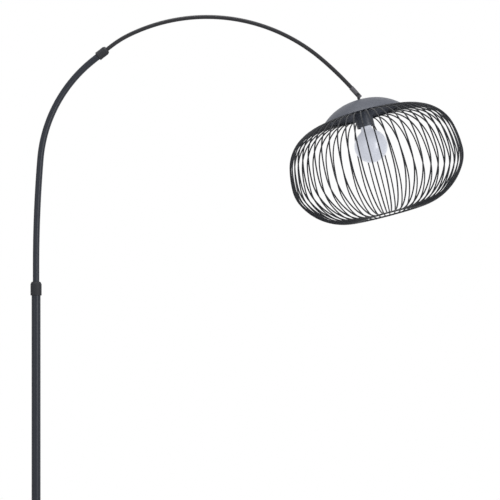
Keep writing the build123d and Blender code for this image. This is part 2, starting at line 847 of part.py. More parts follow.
pieces = {
    "base_pad": base_pad,
    "base_weight": base_weight,
    "base_cover": base_cover,
    "base_washer": base_washer,
    "base_nut": base_nut,
    "base_nipple": base_nipple,
    "cord_gland": cord_gland,
    "pole_foot": pole_foot,
    "foot_collar": foot_collar,
    "lower_pole": lower_pole,
    "upper_pole": upper_pole,
    "pole_joiner": pole_joiner,
    "pole_flex": pole_flex,
    "lower_collet": lower_collet,
    "lower_collar": lower_collar,
    "guide_bush": guide_bush,
    "arch_tube": arch_tube,
    "upper_collet": upper_collet,
    "upper_collar": upper_collar,
    "arm_rod": arm_rod,
    "arm_flex": arm_flex,
    "arm_fork": arm_fork,
    "pivot_screw": pivot_screw,
    "pivot_nut": pivot_nut,
    "shade_stem": shade_stem,
    "canopy_washer": canopy_washer,
    "canopy_dome": canopy_dome,
    "canopy_nut": canopy_nut,
    "mounting_strap": mounting_strap,
    "strap_screws": strap_screws,
    "holder_cap": holder_cap,
    "holder_nut": holder_nut,
    "holder_body": holder_body,
    "contact_block": contact_block,
    "terminal_screws": terminal_screws,
    "screw_shell": screw_shell,
    "centre_contact": centre_contact,
    "bulb_cap": bulb_cap,
    "bulb_globe": bulb_globe,
    "cage_top_ring": cage_top_ring,
    "cage_bottom_ring": cage_bottom_ring,
}
for set_number, wire_set in enumerate(wire_sets, start=1):
    pieces[f"cage_wires_{set_number}"] = wire_set

os.makedirs("parts", exist_ok=True)
for name, piece in pieces.items():
    piece.part.label = name
    export_step(piece.part, f"parts/{name}.step")

print("pivot", [round(value, 3) for value in pivot_point])
print("shade frame", [round(value, 3) for value in shade_frame.origin])
print("collar frame", [round(value, 3) for value in tube_end], [round(value, 4) for value in tube_direction])
print("bend radii of the flex", [round(run[0], 1) for run in flex_runs if isinstance(run, tuple)])
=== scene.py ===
import math

import bpy
import numpy as np
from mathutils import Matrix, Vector


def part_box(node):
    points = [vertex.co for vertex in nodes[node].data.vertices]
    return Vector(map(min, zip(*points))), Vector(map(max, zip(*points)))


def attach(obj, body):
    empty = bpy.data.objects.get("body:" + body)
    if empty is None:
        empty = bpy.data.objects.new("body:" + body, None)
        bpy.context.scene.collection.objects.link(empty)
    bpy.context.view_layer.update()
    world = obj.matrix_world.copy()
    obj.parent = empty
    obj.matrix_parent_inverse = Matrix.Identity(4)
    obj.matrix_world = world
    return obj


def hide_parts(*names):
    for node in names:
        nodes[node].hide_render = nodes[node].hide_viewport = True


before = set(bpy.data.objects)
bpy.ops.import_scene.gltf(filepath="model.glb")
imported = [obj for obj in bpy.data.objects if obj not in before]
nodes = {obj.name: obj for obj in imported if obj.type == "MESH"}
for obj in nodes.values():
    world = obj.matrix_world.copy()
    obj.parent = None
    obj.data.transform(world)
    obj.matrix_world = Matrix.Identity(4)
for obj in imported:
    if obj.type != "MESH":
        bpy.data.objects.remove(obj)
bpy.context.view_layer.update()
mm = 0.001
micron = 0.000001


# ---- Felt pad ------------------------------------------------------------------------------
# A disc of black needled polyester felt, glued under the iron weight so that the lamp doesn't
# mark the floor.


def linear(code):
    """Linear red, green, blue and alpha of an sRGB hex colour."""
    channel = np.array([int(code[i : i + 2], 16) for i in (1, 3, 5)]) / 255
    bright = ((channel + 0.055) / 1.055) ** 2.4
    return (*np.where(channel > 0.04045, bright, channel / 12.92), 1.0)


def add(tree, kind, values=None, links=None, **options):
    """Add a shader node with its options, its sockets' values, and the sockets that feed it."""
    node = tree.nodes.new("ShaderNode" + kind)
    for name, value in options.items():
        setattr(node, name, value)
    for name, value in (values or {}).items():
        node.inputs[name].default_value = value
    for name, socket in (links or {}).items():
        tree.links.new(socket, node.inputs[name])
    return node


def finish_named(name, **values):
    """New material with one Principled shader. Keywords are its sockets, with spaces as _."""
    material = bpy.data.materials.new(name)
    material.use_nodes = True
    shader = material.node_tree.nodes["Principled BSDF"]
    for socket, value in values.items():
        shader.inputs[socket.replace("_", " ")].default_value = value
    return material, material.node_tree, shader


def grain(tree, shader, size, dark, light, depth, stretch=(1, 1, 1), detail=3.0, strength=0.5):
    """Cloud the colour between two tones and raise a bump of the given depth, from noise whose
    grains are size across and stretched along the axes by stretch. Size and depth are in
    metres, and strength is the share of the depth that shows."""
    place = add(tree, "TexCoord").outputs["Object"]
    spread = add(tree, "Mapping", {"Scale": tuple(1 / s for s in stretch)}, {"Vector": place})
    noise = add(
        tree,
        "TexNoise",
        {"Scale": 1 / size, "Detail": detail},
        {"Vector": spread.outputs["Vector"]},
    )
    tone = add(tree, "ValToRGB", links={"Fac": noise.outputs["Fac"]})
    tone.color_ramp.elements[0].position = 0.35
    tone.color_ramp.elements[1].position = 0.65
    tone.color_ramp.elements[0].color = linear(dark)
    tone.color_ramp.elements[1].color = linear(light)
    tree.links.new(tone.outputs["Color"], shader.inputs["Base Color"])
    bump = add(
        tree, "Bump", {"Strength": strength, "Distance": depth}, {"Height": noise.outputs["Fac"]}
    )
    tree.links.new(bump.outputs["Normal"], shader.inputs["Normal"])


def dress(material, *names):
    """Give CAD nodes a material."""
    for name in names:
        nodes[name].data.materials.clear()
        nodes[name].data.materials.append(material)


# Needled felt: hardly any gloss, with fibres that lie one way, 0.6 mm across and 2.4 mm long.
felt, tree, shader = finish_named(
    "needled_felt", Roughness=0.95, Sheen_Weight=0.4, Specular_IOR_Level=0.1
)
grain(tree, shader, 0.6 * mm, "#141414", "#2b2b2c", 300 * micron, stretch=(4, 1, 1))
dress(felt, "base_pad")


# ---- Iron weight ---------------------------------------------------------------------------
# A sand-cast iron disc, dipped in black primer. It is most of the lamp's mass, and it hides
# under the steel cover.

# Sand-cast grey iron under thin primer: grains of sand about 1.2 mm across show through.
iron, tree, shader = finish_named("sand_cast_iron", Metallic=0.3, Roughness=0.7)
grain(tree, shader, 1.2 * mm, "#161717", "#2d2e30", 400 * micron, detail=5)
dress(iron, "base_weight")


# ---- Base cover ----------------------------------------------------------------------------
# A pan pressed from 1.2 mm steel sheet with a rounded edge, powder coated dark grey. It slips
# over the weight, and the pole's foot is bolted down through a hole 60 mm off its middle.


def rings(centre, forward, radius, sides):
    """Grid of circles: centre + radius * (cos a * across + sin a * Y), where across is the
    forward direction x Y, so that every circle stands square to its forward direction."""
    side = np.array([0.0, 1.0, 0.0])
    across = np.cross(forward, side)
    angle = np.linspace(0, 2 * np.pi, sides, endpoint=False)[None, :, None]
    ring = np.cos(angle) * across[:, None, :] + np.sin(angle) * side
    return centre[:, None, :] + np.asarray(radius)[:, None, None] * ring


def skin(name, grids, joined=True):
    """Mesh over grids of points, each closed round its rows. joined closes the last row onto
    the first; otherwise a flat face closes each end row. Faces that point inwards are turned,
    and edges sharper than crease degrees stay sharp in the shading."""
    crease = 32
    points, faces, first = [], [], 0
    for grid in grids:
        rows, columns = grid.shape[:2]
        here = np.arange(rows * columns).reshape(rows, columns) + first
        ahead = np.roll(here, -1, axis=0)
        if not joined:
            here, ahead = here[:-1], ahead[:-1]
        ring = (here, np.roll(here, -1, axis=1), np.roll(ahead, -1, axis=1), ahead)
        quads = np.stack(ring, axis=-1).reshape(-1, 4)
        flat = grid.reshape(-1, 3)
        corner = flat[quads - first] - flat.mean(axis=0)
        volume = np.einsum("ij,ij->i", corner[:, 0], np.cross(corner[:, 1], corner[:, 2])).sum()
        volume += np.einsum("ij,ij->i", corner[:, 0], np.cross(corner[:, 2], corner[:, 3])).sum()
        ends = [] if joined else [here[0, ::-1].tolist(), ahead[-1].tolist()]
        loops = quads.tolist() + ends
        faces += loops if volume > 0 else [loop[::-1] for loop in loops]
        points.append(flat)
        first += rows * columns
    mesh = bpy.data.meshes.new(name)
    mesh.from_pydata(np.concatenate(points).tolist(), [], faces)
    mesh.polygons.foreach_set("use_smooth", np.ones(len(mesh.polygons), bool))
    mesh.set_sharp_from_angle(angle=math.radians(crease))
    mesh.update()
    piece = bpy.data.objects.new(name, mesh)
    bpy.context.scene.collection.objects.link(piece)
    return piece


def softened(outline, radius, steps=4):
    """Closed outline whose corners become parabolas that leave both edges radius from the
    corner, or a share of a short edge, with one more point beyond on each edge to keep the
    flats flat in the shading."""
    most, beyond = 0.45, 1.1
    corner = np.asarray(outline, float)
    before = np.roll(corner, 1, axis=0) - corner
    after = np.roll(corner, -1, axis=0) - corner
    pull_before = np.minimum(most, radius / np.linalg.norm(before, axis=1))[:, None] * before
    pull_after = np.minimum(most, radius / np.linalg.norm(after, axis=1))[:, None] * after
    along = np.linspace(0, 1, steps + 1)[None, :, None]
    curve = (1 - along) ** 2 * pull_before[:, None] + along**2 * pull_after[:, None]
    first, last = beyond * pull_before[:, None], beyond * pull_after[:, None]
    return (corner[:, None] + np.concatenate([first, curve, last], axis=1)).reshape(-1, 2)


def filled(outline, step):
    """Closed outline with points added evenly, so that no run of it is longer than step."""
    reach = np.roll(outline, -1, axis=0) - outline
    count = np.maximum(1, np.ceil(np.linalg.norm(reach, axis=1) / step)).astype(int)
    order = np.arange(count.sum()) - np.repeat(np.cumsum(count) - count, count)
    share = (order / np.repeat(count, count))[:, None]
    return np.repeat(outline, count, axis=0) + share * np.repeat(reach, count, axis=0)


def arc(centre, radius, first, last, steps):
    """Points at centre + radius * (cos a, sin a), a going from first to last degrees."""
    angle = np.radians(np.linspace(first, last, steps))
    return np.asarray(centre) + radius * np.stack([np.cos(angle), np.sin(angle)], axis=1)


def powder_coat(name, dark, light, roughness, shine=0.22):
    """Polyester powder baked on steel: an orange peel of 1.1 mm dimples 20 micrometres deep,
    a fifth of which shows, and a gloss that clouds over 40 mm, as the powder lay thicker or
    thinner."""
    material, tree, shader = finish_named(name, Roughness=roughness, Specular_IOR_Level=shine)
    grain(tree, shader, 1.1 * mm, dark, light, 20 * micron, detail=1.0, strength=0.2)
    cloud = add(tree, "TexNoise", {"Scale": 1 / (40 * mm), "Detail": 2.0})
    tree.links.new(add(tree, "TexCoord").outputs["Object"], cloud.inputs["Vector"])
    swing = 0.06
    gloss = add(tree, "MapRange", {"To Min": roughness - swing, "To Max": roughness + swing})
    tree.links.new(cloud.outputs["Fac"], gloss.inputs["Value"])
    tree.links.new(gloss.outputs["Result"], shader.inputs["Roughness"])
    return material


def fit(piece, body, slot, material, *replaced):
    """Put a new piece on its body, in place of its CAD nodes if it has any, with its material.
    The slot is not used."""
    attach(piece, body)
    if replaced:
        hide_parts(*replaced)
    piece.data.materials.append(material)


cover_low, cover_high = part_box("base_cover")
cover_middle = (cover_low + cover_high) / 2
cover_radius = (cover_high.y - cover_low.y) / 2
cover_wall = 1.2 * mm
cover_edge = 9 * mm
cover_hole = 7.05 * mm
edge_radius = cover_radius - cover_edge
edge_level = cover_high.z - cover_edge
outside = arc((edge_radius, edge_level), cover_edge, 90, 0, 14)
inside = arc((edge_radius, edge_level), cover_edge - cover_wall, 0, 90, 14)
down = np.linspace(edge_level, cover_low.z, 6)[1:]
outwards = np.linspace(cover_hole, edge_radius, 24)[:-1]
skirt = np.stack([np.full_like(down, cover_radius), down], axis=1)
lining = np.stack([np.full_like(down, cover_radius - cover_wall), down[::-1]], axis=1)
top = np.stack([outwards, np.full_like(outwards, cover_high.z)], axis=1)
ceiling = np.stack(
    [outwards[::-1], np.full_like(outwards, cover_high.z - cover_wall)], axis=1
)
profile = np.concatenate([top, outside, skirt, lining, inside, ceiling])
# The circles drift from the pole's hole to the pan's own middle as they grow.
drift = np.clip((profile[:, 0] - cover_hole) / (edge_radius - cover_hole), 0, 1)
centre = np.stack([drift * cover_middle.x, 0 * drift, profile[:, 1]], axis=1)
upwards = np.tile([0.0, 0.0, 1.0], (len(profile), 1))
base_pan = skin("base_pan", [rings(centre, upwards, profile[:, 0], sides=160)])
pole_coat = powder_coat("satin_powder_coat", "#25282f", "#282b32", 0.36, 0.18)
fit(base_pan, "stand", "powder_coat", pole_coat, "base_cover")


# ---- Bolting down --------------------------------------------------------------------------
# A hollow threaded tube of M14 size runs from the pole's foot through cover and weight to a
# nut and washer in a pocket underneath. Steel, bright zinc plated.

# Bright zinc: a white metal with a faint blue and straw bloom, in patches of 4 mm, from its
# passivation.
zinc, tree, shader = finish_named("bright_zinc", Metallic=1.0, Roughness=0.32)
grain(tree, shader, 4 * mm, "#b3b9c2", "#cfcdc4", 30 * micron)
dress(zinc, "base_washer", "base_nut", "base_nipple", "pole_foot", "pole_joiner")

# Moulded rubber of the gland in the cover's back, where the mains flex goes in: deep black,
# dull, with the fine matt of its mould.
rubber, tree, shader = finish_named("moulded_rubber", Roughness=0.75)
grain(tree, shader, 0.5 * mm, "#17181a", "#222326", 50 * micron)
dress(rubber, "cord_gland")


# ---- Foot collar ---------------------------------------------------------------------------
# A turned steel ring, powder coated with the base. It slides down the pole and hides the foot's
# flange and the hole in the cover.


def bent_path(start, heading, runs=()):
    """Path of tangent runs in the plane of the arch, as a function that gives the centres and
    directions at an array of distances. heading is in degrees from +Z towards +X. A run is a
    straight length, or a radius and the degrees that the path bends by to the right. Along a
    bend of curvature k the heading is h = h0 + k s, x is x0 + (cos h0 - cos h) / k, and z is
    z0 + (sin h - sin h0) / k."""
    x, z, turned, begin = start[0], start[2], math.radians(heading), 0.0
    pieces = [(x, z, turned, 0.0, 0.0)]
    for run in runs:
        radius, degrees = run if isinstance(run, tuple) else (math.inf, 0.0)
        curvature = 1 / radius
        length = math.radians(degrees) * radius if degrees else run
        pieces.append((x, z, turned, curvature, begin))
        after = turned + curvature * length
        if degrees:
            x += (math.cos(turned) - math.cos(after)) / curvature
            z += (math.sin(after) - math.sin(turned)) / curvature
        else:
            x, z = x + length * math.sin(turned), z + length * math.cos(turned)
        turned, begin = after, begin + length
    pieces.append((x, z, turned, 0.0, begin))

    def place(distance):
        distance = np.asarray(distance, float)
        centre = np.zeros((len(distance), 3))
        forward = np.zeros((len(distance), 3))
        for x0, z0, before, curvature, since in pieces:
            here = distance >= since if since > 0 else np.ones(len(distance), bool)
            along = distance[here] - since
            angle = before + curvature * along
            if curvature:
                centre[here, 0] = x0 + (np.cos(before) - np.cos(angle)) / curvature
                centre[here, 2] = z0 + (np.sin(angle) - np.sin(before)) / curvature
            else:
                centre[here, 0] = x0 + along * math.sin(before)
                centre[here, 2] = z0 + along * math.cos(before)
            forward[here, 0], forward[here, 2] = np.sin(angle), np.cos(angle)
        return centre, forward

    place.length = begin
    return place


def carried(name, place, outline, sides):
    """Round piece along a path: outline is a closed row of (distance, radius) pairs."""
    outline = np.asarray(outline)
    centre, forward = place(outline[:, 0])
    return skin(name, [rings(centre, forward, outline[:, 1], sides)])


upright = bent_path((0, 0, 0), 0)
pole_radius = 11 * mm
play = 0.05 * mm
foot_low, foot_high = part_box("foot_collar")
foot_radius = foot_high.x
foot_bore = pole_radius + play
foot_seat = 6 * mm
foot_cavity = 17 * mm
foot_cavity_height = 5 * mm
foot_rim = 3 * mm
foot_lip = 4 * mm
foot_outline = (
    (foot_high.z, foot_bore),
    (foot_high.z - foot_seat, foot_bore),
    (foot_low.z + foot_cavity_height, foot_cavity),
    (foot_low.z, foot_cavity),
    (foot_low.z, foot_radius),
    (foot_low.z + foot_rim, foot_radius),
    (foot_high.z, foot_bore + foot_lip),
)
foot_ring = carried("foot_ring", upright, softened(foot_outline, 1.6 * mm, steps=6), sides=96)
fit(foot_ring, "stand", "powder_coat", pole_coat, "foot_collar")


# ---- Pole ----------------------------------------------------------------------------------
# Two lengths of 22 mm steel tube, powder coated, that meet over a joiner plug halfway up. Each
# cut end has a broken edge, so that a fine line shows at the joint.


def tube_wall(low, high, outer, inner, step):
    """Closed (distance, radius) outline of a tube's wall, with broken edges at its rims and
    rows no further apart than step."""
    broken_edge = 0.3 * mm
    corners = ((low, inner), (low, outer), (high, outer), (high, inner))
    return filled(softened(corners, broken_edge, steps=2), step)


pole_bore = 9.8 * mm
for name in ("lower_pole", "upper_pole"):
    low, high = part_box(name)
    wall = tube_wall(low.z, high.z, pole_radius, pole_bore, step=40 * mm)
    tube = carried(name + "_tube", upright, wall, sides=72)
    fit(tube, "stand", "powder_coat", pole_coat, name)

# PVC sheath of the round flex inside the pole and the arch: satin black, slightly rippled by
# the twisted cores under it, every 30 mm.
sheath, tree, shader = finish_named("pvc_sheath", Roughness=0.45)
grain(tree, shader, 10 * mm, "#18191b", "#1f2022", 200 * micron, stretch=(1, 1, 3))
dress(sheath, "pole_flex", "arm_flex")


# ---- Lower collar --------------------------------------------------------------------------
# A moulded nylon screw collar at the pole's top. Turned down, it squeezes the slit fingers of
# the collet onto the arch's tube, and holds the lamp at its height.

# Natural nylon of the collets and the guide bush: waxy, milky and a little translucent.
nylon, tree, shader = finish_named(
    "natural_nylon",
    Roughness=0.42,
    Subsurface_Weight=0.15,
    Subsurface_Radius=(2 * mm, 2 * mm, 1.8 * mm),
)
grain(tree, shader, 3 * mm, "#c9c6b8", "#d6d3c6", 30 * micron)
dress(nylon, "lower_collet", "upper_collet", "guide_bush")

# Black-grey nylon with the fine matt of a spark-eroded mould, in grains of 0.5 mm.
matt_nylon, tree, shader = finish_named(
    "mould_textured_nylon", Roughness=0.62, Specular_IOR_Level=0.25
)
grain(tree, shader, 0.5 * mm, "#1d1e22", "#242529", 30 * micron)


def screw_collar(name, place, levels, radii, sides):
    """Screw collar along a path, with edges rounded to 0.7 mm. levels are its lower end, the
    cone's start and end, the taper's start, and its top. radii are its bore, the cone's wide
    and narrow end, its mouth, its lip and its outside."""
    low, cone_start, cone_end, taper, top = levels
    bore, wide, narrow, mouth, lip, outer = radii
    outline = (
        (low, bore),
        (cone_start, bore),
        (cone_start, wide),
        (cone_end, narrow),
        (cone_end, mouth),
        (top, mouth),
        (top, lip),
        (taper, outer),
        (low, outer),
    )
    return carried(name, place, softened(outline, 0.7 * mm), sides)


collar_low, collar_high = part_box("lower_collar")
pole_end = collar_low.z + 12.2 * mm
collar_levels = (
    collar_low.z,
    pole_end + 2.3 * mm,
    pole_end + 17.3 * mm,
    collar_high.z - 6 * mm,
    collar_high.z,
)
collar_radii = (pole_radius + play, 10.3 * mm, 9.5 * mm, 8.3 * mm, 10.6 * mm, collar_high.x)
mast_collar = screw_collar("mast_collar", upright, collar_levels, collar_radii, sides=96)
fit(mast_collar, "lower_collar", "collar_plastic", matt_nylon, "lower_collar")


# ---- Arch tube -----------------------------------------------------------------------------
# One length of 16 mm steel tube, bent on a mandrel: a straight foot that slides in the pole,
# a long easy bend and a tighter one. Powder coated like the pole.

tube_radius = 8 * mm
tube_bore = 7 * mm
tube_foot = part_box("arch_tube")[0].z
tube_first_run = 210 * mm
tube_bends = ((3270 * mm, 4.64), (347.4 * mm, 47.14))
tube_last_run = 31 * mm
arch_path = bent_path((0, 0, tube_foot), 0, (tube_first_run, *tube_bends, tube_last_run))
arch_wall = tube_wall(0, arch_path.length, tube_radius, tube_bore, step=7 * mm)
arch_bow = carried("arch_bow", arch_path, arch_wall, sides=64)
fit(arch_bow, "arch", "powder_coat", pole_coat, "arch_tube")


# ---- Upper collar --------------------------------------------------------------------------
# A smaller screw collar of the same nylon, at the end of the arch's tube, over the collet that
# grips the thinner arm.

tube_end, tube_direction = (rows[0] for rows in arch_path([arch_path.length]))
arm_heading = math.degrees(math.atan2(tube_direction[0], tube_direction[2]))
collar_axis = bent_path(tube_end, arm_heading)
collar_levels = (-17.5 * mm, 1.8 * mm, 8.8 * mm, 6.5 * mm, 11.5 * mm)
collar_radii = (tube_radius + play, 7.8 * mm, 7.1 * mm, 5.3 * mm, 8.2 * mm, 11 * mm)
arm_collar = screw_collar("arm_collar", collar_axis, collar_levels, collar_radii, sides=80)
fit(arm_collar, "upper_collar", "collar_plastic", matt_nylon, "upper_collar")


# ---- Arm -----------------------------------------------------------------------------------
# A 10 mm steel tube with one long crook: it rises out of the arch, rounds the lamp's highest
# point and comes down to the fork. Powder coated.

rod_radius = 5 * mm
rod_bore = 4 * mm
rod_insertion = 30 * mm
rod_first_run = 53 * mm
rod_bends = ((252 * mm, 12.22), (437.92 * mm, 66.416), (812 * mm, 7.12))
rod_last_run = 12 * mm
rod_start = tube_end - tube_direction * rod_insertion
rod_path = bent_path(rod_start, arm_heading, (rod_first_run, *rod_bends, rod_last_run))
rod_wall = tube_wall(0, rod_path.length, rod_radius, rod_bore, step=7 * mm)
arm_crook = carried("arm_crook", rod_path, rod_wall, sides=48)
arm_coat = powder_coat("arm_powder_coat", "#262629", "#29292c", 0.36, 0.18)
fit(arm_crook, "arch", "powder_coat", arm_coat, "arm_rod")


# ---- Fork and pivot ------------------------------------------------------------------------
# A slotted steel sleeve pressed over the arm's end, and a screw and nut through it that hold
# the flat tongue of the shade's stem, so that the shade tilts and stays where it is put.

# Blackened steel: a dark oxide over the metal, satin, worn a little lighter in places.
blackened, tree, shader = finish_named("blackened_steel", Metallic=0.6, Roughness=0.4)
grain(tree, shader, 2 * mm, "#1d1e21", "#303236", 30 * micron)
dress(blackened, "pivot_screw", "pivot_nut", "shade_stem", "canopy_washer")

# The sleeve is powder coated too, lighter and glossier than the arm.
dress(powder_coat("fork_powder_coat", "#48474c", "#4c4b50", 0.34, 0.4), "arm_fork")


# ---- Dome ----------------------------------------------------------------------------------
# A shallow dome spun from 1 mm steel sheet and powder coated. It hangs from the stem's washer,
# and the cage's top ring is welded inside its rim.

# The shade hangs from the pivot in the fork. Its axis leans by shade_lean degrees, with its top
# towards the pole, and its heights are measured along that axis from the cage's top ring.
rod_end, rod_direction = (rows[0] for rows in rod_path([rod_path.length]))
fork_reach = 21.3 * mm
pivot_height = 9.3 * mm
pivot_level = 53.7 * mm
shade_lean = 14.47
pivot = rod_end + rod_direction * (fork_reach - pivot_height)
lean = math.radians(shade_lean)
shade_up = np.array([-math.sin(lean), 0, math.cos(lean)])
shade_side = np.array([math.cos(lean), 0, math.sin(lean)])
ring_middle = pivot - shade_up * pivot_level
shade_axis = bent_path(ring_middle, -shade_lean)

dome_top = 39.5 * mm
dome_bottom = 2.8 * mm
dome_flat = 9 * mm
dome_rim = 100 * mm
dome_wall = 1 * mm
dome_reach = dome_rim - dome_flat
dome_drop = dome_top - dome_bottom
dome_arc = (dome_reach**2 + dome_drop**2) / (2 * dome_drop)
dome_turn = math.degrees(2 * math.atan2(dome_drop, dome_reach))
arc_centre = (dome_top - dome_arc, dome_flat)
over = arc(arc_centre, dome_arc, 0, dome_turn, 60)
under = arc(arc_centre, dome_arc - dome_wall, dome_turn, 0, 60)
stem_hole = 5.05 * mm
dome_outline = np.concatenate(
    [[(dome_top, stem_hole)], over, under, [(dome_top - dome_wall, stem_hole)]]
)
spun_dome = carried("spun_dome", shade_axis, dome_outline, sides=144)
# The dome has the same dark powder coat as the pole. Its lighter colour here is painted light,
# standing in for the light that falls on its top.
dome_coat = powder_coat("dome_powder_coat_with_painted_light", "#41444d", "#454851", 0.46)
fit(spun_dome, "shade", "dome_coat", dome_coat, "canopy_dome")

dress(zinc, "canopy_nut", "mounting_strap", "strap_screws", "holder_nut")


# ---- Lampholder ----------------------------------------------------------------------------
# A two-part lampholder moulded in black phenolic, 44 mm across: the cap is screwed up against
# the strap, and the body screws into the cap with a fine parting line between them.

# Phenolic: dark grey with a trace of blue, satin, with 2 mm flow marks hardly seen.
phenolic, tree, shader = finish_named("black_phenolic", Roughness=0.4, Specular_IOR_Level=0.35)
grain(tree, shader, 2 * mm, "#343841", "#3a3e48", 20 * micron)

holder_radius = 22 * mm
holder_wall = 2.2 * mm
holder_bore = holder_radius - holder_wall
holder_bottom = -28.5 * mm
holder_split = 8 * mm
holder_top = 32.5 * mm
parting_edge = 0.4 * mm
shoulder = 8 * mm
shoulder_centre = (holder_top - shoulder, holder_radius - shoulder)
cap_outline = np.concatenate(
    [
        [(holder_split, holder_bore), (holder_split, holder_radius - parting_edge)],
        [(holder_split + parting_edge, holder_radius)],
        arc(shoulder_centre, shoulder, 90, 0, 10),
        [(holder_top, stem_hole), (holder_top - holder_wall, stem_hole)],
        arc(shoulder_centre, shoulder - holder_wall, 0, 90, 8),
    ]
)
holder_dome = carried("holder_dome", shade_axis, cap_outline, sides=96)
fit(holder_dome, "shade", "holder_plastic", phenolic, "holder_cap")

# The body's spigot screws into the cap, and a ledge inside it carries the contact block.
spigot_radius = holder_bore - play
spigot_bore = spigot_radius - 2 * mm
spigot_top = holder_split + 6 * mm
ledge_radius = 15.5 * mm
ledge_bottom = 2 * mm
ledge_top = 4 * mm
body_outline = (
    (holder_bottom, holder_radius),
    (holder_split, holder_radius),
    (holder_split, spigot_radius),
    (spigot_top, spigot_radius),
    (spigot_top, spigot_bore),
    (ledge_top, spigot_bore),
    (ledge_top, ledge_radius),
    (ledge_bottom, ledge_radius),
    (ledge_bottom, holder_bore),
    (holder_bottom, holder_bore),
)
holder_skirt = carried("holder_skirt", shade_axis, softened(body_outline, 0.6 * mm), sides=96)
fit(holder_skirt, "shade", "holder_plastic", phenolic, "holder_body")

# Fired steatite: off white, dense and dull, with fine specks.
steatite, tree, shader = finish_named("fired_steatite", Roughness=0.6)
grain(tree, shader, 0.8 * mm, "#cfc9bd", "#dcd7cb", 30 * micron)
dress(steatite, "contact_block")

# Rolled brass of the shell and the contacts: yellow metal with fine rolling marks.
brass, tree, shader = finish_named("rolled_brass", Metallic=1.0, Roughness=0.3)
grain(tree, shader, 1 * mm, "#b8923f", "#cfa956", 20 * micron, stretch=(6, 1, 1))
dress(brass, "terminal_screws", "screw_shell", "centre_contact")


# ---- Bulb ----------------------------------------------------------------------------------
# An 82 mm globe of blown opal glass on a rolled aluminium screw cap. Unlit, it looks an even,
# cool grey white.

# Opal glass: white all through and polished by the mould, so light sinks in a few millimetres
# and spreads through the wall. The emission is painted light: a glow on an unlit bulb. It stands
# in for the even tone this gives in a bright room, and it evens out the uneven light that the
# scene's lamps cast on the globe. The base colour is set darker than the glass's own white to
# make up for the glow. It isn't a lit bulb: in a dark scene the strength belongs at 0, with a
# lighter colour.
opal, tree, shader = finish_named(
    "opal_glass",
    Roughness=0.3,
    Subsurface_Weight=0.3,
    Subsurface_Radius=(4 * mm, 4 * mm, 4.5 * mm),
    Emission_Color=linear("#c5c8d2"),
    Emission_Strength=0.72,
)
grain(tree, shader, 20 * mm, "#74777e", "#7a7d84", 20 * micron)

# Rolled aluminium of the cap: soft bright metal.
aluminium, tree, shader = finish_named("rolled_aluminium", Metallic=1.0, Roughness=0.35)
grain(tree, shader, 1.5 * mm, "#c4c5c6", "#d6d6d5", 30 * micron)
dress(aluminium, "bulb_cap")

globe_radius = 41 * mm
globe_centre = -77 * mm
neck_radius = 13 * mm
neck_fillet = 14 * mm
glass_wall = 1 * mm
neck_turn = math.acos((neck_radius + neck_fillet) / (globe_radius + neck_fillet))
fillet_level = globe_centre + (globe_radius + neck_fillet) * math.sin(neck_turn)
fillet_centre = (fillet_level, neck_radius + neck_fillet)
turned = math.degrees(neck_turn)
cap_end = -24.05 * mm
root_radius = 12.55 * mm
root_bore = root_radius - glass_wall
root_top = -16 * mm
# The ball stops just short of its lowest point, so that no circle shrinks to nothing there.
tip_radius = 0.05 * mm
tip_angle = math.degrees(tip_radius / globe_radius)
flare_out = arc(fillet_centre, neck_fillet, -90, -90 - turned, 14)
flare_in = arc(fillet_centre, neck_fillet + glass_wall, -90 - turned, -90, 14)
ball_out = arc((globe_centre, 0), globe_radius, 90 - turned, 180 - tip_angle, 56)
ball_in = arc((globe_centre, 0), globe_radius - glass_wall, 180 - tip_angle, 90 - turned, 56)
glass_outline = np.concatenate(
    [
        [(root_top, root_bore), (root_top, root_radius)],
        [(cap_end, root_radius), (cap_end, neck_radius)],
        flare_out,
        ball_out[1:],
        ball_in,
        flare_in[1:],
        [(cap_end - glass_wall, neck_radius - glass_wall), (cap_end - glass_wall, root_bore)],
    ]
)
opal_globe = carried("opal_globe", shade_axis, glass_outline, sides=96)
fit(opal_globe, "shade", "opal_glass", opal, "bulb_globe")


# ---- Wire cage -----------------------------------------------------------------------------
# Fifty-six bent 3.2 mm steel wires, welded between a top ring inside the dome and a smaller
# bottom ring, then powder coated. Each wire rolls outwards, down and back in.

wire_coat = powder_coat("wire_powder_coat", "#15171c", "#181a1f", 0.42, 0.2)
wire_count = 56
# The coat's thickness was chosen by how wide the wires look.
coat_thickness = 0.15 * mm
wire_radius = 1.6 * mm + coat_thickness
wire_phase = math.radians(4.3)
top_radius, middle_radius, bottom_radius = 92.3 * mm, 213.6 * mm, 79.7 * mm
upper_drop, lower_drop = 136.7 * mm, 113.8 * mm
shoulder_start, shoulder_turn, shoulder_bend = 30.8, 45.5, 98.1 * mm
belly_turn = 62.4

# The first and last of three tangent arcs through a right angle, the middle one given: their
# radii solve two equations, one for the reach outwards and one for the drop.
first, second = math.radians(shoulder_start), math.radians(shoulder_start + shoulder_turn)
reach = middle_radius - top_radius - shoulder_bend * (math.sin(second) - math.sin(first))
drop = upper_drop - shoulder_bend * (math.cos(first) - math.cos(second))
weights = [[math.sin(first), 1 - math.sin(second)], [1 - math.cos(first), math.cos(second)]]
brow_bend, flank_bend = np.linalg.solve(weights, [reach, drop])
belly = math.radians(belly_turn)
weights = [[math.sin(belly), 1 - math.sin(belly)], [1 - math.cos(belly), math.cos(belly)]]
sole_bend, belly_bend = np.linalg.solve(weights, [middle_radius - bottom_radius, lower_drop])
wire_path = bent_path(
    (top_radius, 0, 0),
    90,
    (
        (brow_bend, shoulder_start),
        (shoulder_bend, shoulder_turn),
        (flank_bend, 90 - shoulder_start - shoulder_turn),
        (belly_bend, 90 - belly_turn),
        (sole_bend, belly_turn),
    ),
)
distance = np.linspace(0, wire_path.length, 96)
one_wire = rings(*wire_path(distance), np.full_like(distance, wire_radius), sides=10)


